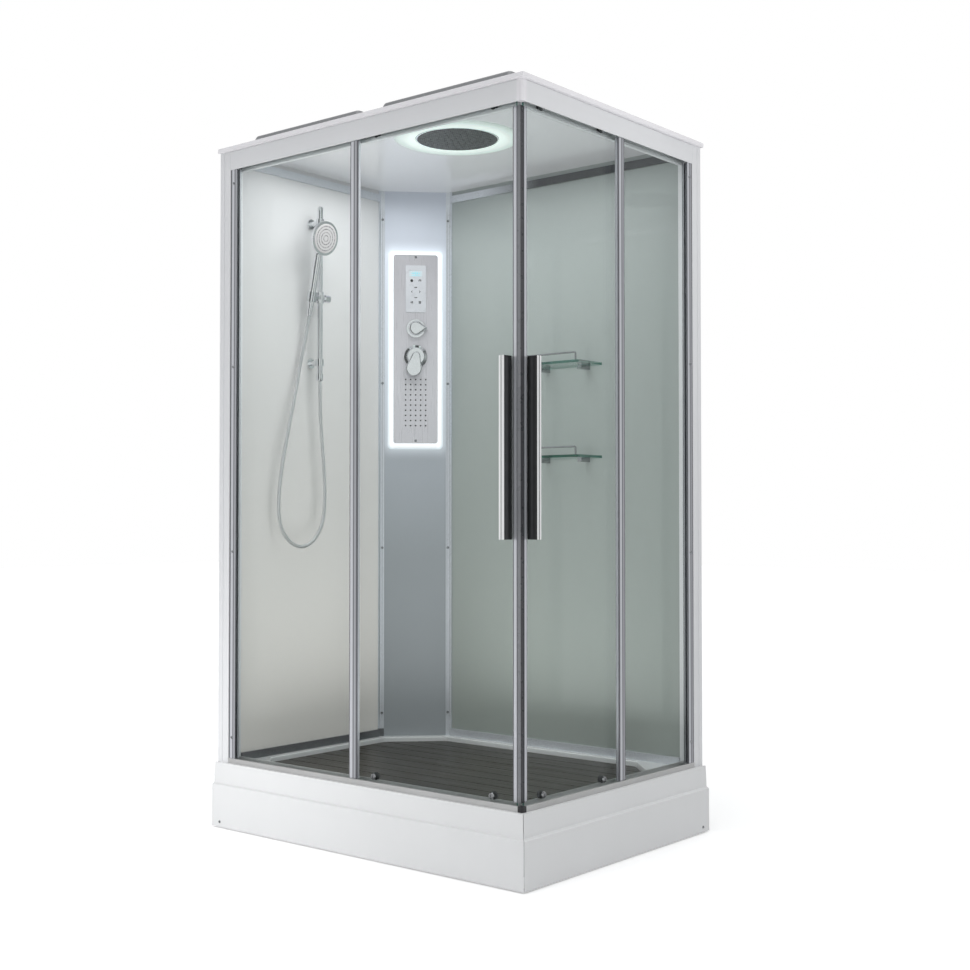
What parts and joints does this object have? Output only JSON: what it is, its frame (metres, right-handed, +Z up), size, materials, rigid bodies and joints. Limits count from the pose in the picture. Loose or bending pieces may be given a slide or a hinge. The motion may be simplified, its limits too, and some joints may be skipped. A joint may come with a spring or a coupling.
{
  "type": "shower cabin",
  "caption": "Rectangular corner-entry shower cabin with sliding glass doors on rollers, raised tray, roof, lit shower panel, rain head, handset rail and glass shelves.",
  "frame": {"origin": "centre of the plan on the floor, under the levelling feet", "axes": "+Z up; +X along the long glazed front towards the corner where the doors meet; -Y out of the long glazed front, +X out of the short glazed side"},
  "size_m": [1.2, 0.9, 2.088],
  "materials": {
    "white_acrylic": "moulded white, gloss",
    "deck_wood": "dark stained, satin",
    "frame_steel": "zinc-grey",
    "grey_plastic": "moulded grey",
    "white_profile": "white coated",
    "white_plastic": "moulded white",
    "satin_aluminium": "satin anodised",
    "bright_aluminium": "bright polished",
    "black_plastic": "moulded black",
    "clear_glass": "clear toughened",
    "pale_wall_glass": "back painted, gloss",
    "grey_wall_glass": "back painted, gloss",
    "column_board": "satin board",
    "chrome_steel": "polished",
    "chrome_plastic": "chrome plated plastic",
    "lit_diffuser": "opal diffuser",
    "dark_rubber": "matte",
    "brushed_plate": "brushed",
    "control_plastic": "satin silver",
    "brass": "cast",
    "chrome_hose": "silver sleeve",
    "grip_metal": "dark sides, bright front",
    "roller_plastic": "moulded acetal"
  },
  "bodies": {
    "cabin": {"shower_tray": "white_acrylic", "front_apron": "white_acrylic", "side_apron": "white_acrylic", "floor_deck": "deck_wood", "support_frame": "frame_steel", "levelling_feet": "frame_steel", "waste_trap": "grey_plastic", "wall_posts": "white_profile", "front_header": "white_profile", "side_header": "white_profile", "header_corner": "white_plastic", "front_bottom_rail": "satin_aluminium", "side_bottom_rail": "satin_aluminium", "rail_corner": "black_plastic", "glass_channels": "bright_aluminium", "fixed_glass": "clear_glass", "left_wall_panel": "pale_wall_glass", "back_wall_panel": "grey_wall_glass", "column_panel": "column_board", "wall_trims": "bright_aluminium", "frame_screws": "chrome_steel", "roof_panel": "white_plastic", "roof_covers": "grey_plastic", "light_ring": "lit_diffuser", "rain_head": "chrome_plastic", "rain_head_face": "dark_rubber", "shower_panel": "brushed_plate", "panel_light": "lit_diffuser", "control_unit": "control_plastic", "jet_mat": "dark_rubber", "valve_body": "brass", "riser_rail": "chrome_steel", "shower_hose": "chrome_hose", "shelf_glass": "clear_glass", "shelf_brackets": "chrome_steel"},
    "front_door": {"front_door_glass": "clear_glass", "front_door_stile": "bright_aluminium", "front_door_seal": "dark_rubber", "front_door_handle": "grip_metal", "front_door_hangers": "chrome_steel"},
    "side_door": {"side_door_glass": "clear_glass", "side_door_stile": "bright_aluminium", "side_door_seal": "dark_rubber", "side_door_handle": "grip_metal", "side_door_hangers": "chrome_steel"},
    "front_top_lead_roller": {"front_top_lead_roller": "roller_plastic"},
    "front_top_trail_roller": {"front_top_trail_roller": "roller_plastic"},
    "front_bottom_lead_roller": {"front_bottom_lead_roller": "roller_plastic"},
    "front_bottom_trail_roller": {"front_bottom_trail_roller": "roller_plastic"},
    "side_top_lead_roller": {"side_top_lead_roller": "roller_plastic"},
    "side_top_trail_roller": {"side_top_trail_roller": "roller_plastic"},
    "side_bottom_lead_roller": {"side_bottom_lead_roller": "roller_plastic"},
    "side_bottom_trail_roller": {"side_bottom_trail_roller": "roller_plastic"},
    "slider": {"slider": "chrome_plastic"},
    "handset": {"handset_holder": "chrome_plastic", "handset": "chrome_plastic", "handset_face": "control_plastic"},
    "mixer_hub": {"mixer_hub": "chrome_plastic"},
    "mixer_lever": {"mixer_lever": "chrome_plastic"},
    "diverter_knob": {"diverter_knob": "chrome_plastic"}
  },
  "joints": [
    {"name": "front_door_slide", "type": "slide", "parent": "cabin", "child": "front_door", "axis": [-1, 0, 0], "range_m": [0, 0.46]},
    {"name": "side_door_slide", "type": "slide", "parent": "cabin", "child": "side_door", "axis": [0, 1, 0], "range_m": [0, 0.315]},
    {"name": "front_top_lead_spin", "type": "hinge", "parent": "front_door", "child": "front_top_lead_roller", "pos_m": [0.455, -0.39, 2.0093], "axis": [0, -1, 0], "continuous": true},
    {"name": "front_top_trail_spin", "type": "hinge", "parent": "front_door", "child": "front_top_trail_roller", "pos_m": [0.033, -0.39, 2.0093], "axis": [0, -1, 0], "continuous": true},
    {"name": "front_bottom_lead_spin", "type": "hinge", "parent": "front_door", "child": "front_bottom_lead_roller", "pos_m": [0.455, -0.39, 0.2183], "axis": [0, -1, 0], "continuous": true},
    {"name": "front_bottom_trail_spin", "type": "hinge", "parent": "front_door", "child": "front_bottom_trail_roller", "pos_m": [0.033, -0.39, 0.2183], "axis": [0, -1, 0], "continuous": true},
    {"name": "side_top_lead_spin", "type": "hinge", "parent": "side_door", "child": "side_top_lead_roller", "pos_m": [0.54, -0.305, 2.0093], "axis": [-1, 0, 0], "continuous": true},
    {"name": "side_top_trail_spin", "type": "hinge", "parent": "side_door", "child": "side_top_trail_roller", "pos_m": [0.54, -0.031, 2.0093], "axis": [-1, 0, 0], "continuous": true},
    {"name": "side_bottom_lead_spin", "type": "hinge", "parent": "side_door", "child": "side_bottom_lead_roller", "pos_m": [0.54, -0.305, 0.2183], "axis": [-1, 0, 0], "continuous": true},
    {"name": "side_bottom_trail_spin", "type": "hinge", "parent": "side_door", "child": "side_bottom_trail_roller", "pos_m": [0.54, -0.031, 0.2183], "axis": [-1, 0, 0], "continuous": true},
    {"name": "slider_slide", "type": "slide", "parent": "cabin", "child": "slider", "axis": [0, 0, 1], "range_m": [-0.15, 0.12], "deforming": ["shower_hose"]},
    {"name": "handset_tilt", "type": "hinge", "parent": "slider", "child": "handset", "pos_m": [-0.51, -0.126, 1.639], "axis": [0, 1, 0], "range_deg": [-6, 15], "deforming": ["shower_hose"]},
    {"name": "mixer_turn", "type": "hinge", "parent": "cabin", "child": "mixer_hub", "pos_m": [-0.44272, 0.29272, 1.48], "axis": [0.7071, -0.7071, 0], "range_deg": [-45, 45]},
    {"name": "mixer_lift", "type": "hinge", "parent": "mixer_hub", "child": "mixer_lever", "pos_m": [-0.43352, 0.28352, 1.48], "axis": [-0.7071, -0.7071, 0], "range_deg": [0, 15]},
    {"name": "diverter_turn", "type": "hinge", "parent": "cabin", "child": "diverter_knob", "pos_m": [-0.44272, 0.29272, 1.576], "axis": [0.7071, -0.7071, 0], "range_deg": [-90, 90]}
  ],
  "couplings": [
    {"joint": "front_top_lead_spin", "follows": "front_door_slide", "rad_per_m": 120.48},
    {"joint": "front_top_trail_spin", "follows": "front_door_slide", "rad_per_m": 120.48},
    {"joint": "front_bottom_lead_spin", "follows": "front_door_slide", "rad_per_m": 120.48},
    {"joint": "front_bottom_trail_spin", "follows": "front_door_slide", "rad_per_m": 120.48},
    {"joint": "side_top_lead_spin", "follows": "side_door_slide", "rad_per_m": 120.48},
    {"joint": "side_top_trail_spin", "follows": "side_door_slide", "rad_per_m": 120.48},
    {"joint": "side_bottom_lead_spin", "follows": "side_door_slide", "rad_per_m": 120.48},
    {"joint": "side_bottom_trail_spin", "follows": "side_door_slide", "rad_per_m": 120.48}
  ]
}
